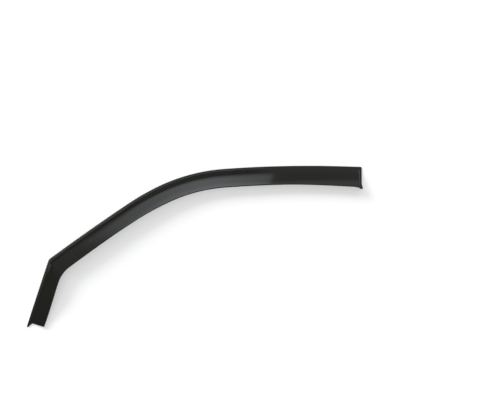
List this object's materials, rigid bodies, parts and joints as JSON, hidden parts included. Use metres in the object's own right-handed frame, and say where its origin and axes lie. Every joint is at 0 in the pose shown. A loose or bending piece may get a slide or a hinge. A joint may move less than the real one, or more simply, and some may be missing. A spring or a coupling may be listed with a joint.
{
  "type": "window rain deflector",
  "caption": "Smoked acrylic rain deflector for a front door window: a bent strip with a fixing flange, a rounded shoulder and a raised blade, closed at the rear end.",
  "frame": {"origin": "middle of the part's box in plan, on the plane that the fixing flange rests on", "axes": "+X along the car to its rear, +Y up the door to the roof edge, +Z out of the door, away from the glass"},
  "size_m": [0.8962, 0.4374, 0.0298],
  "materials": {
    "smoked_acrylic": "dark smoke acrylic sheet, polished gloss"
  },
  "bodies": {
    "root": {"deflector": "smoked_acrylic"}
  },
  "joints": []
}
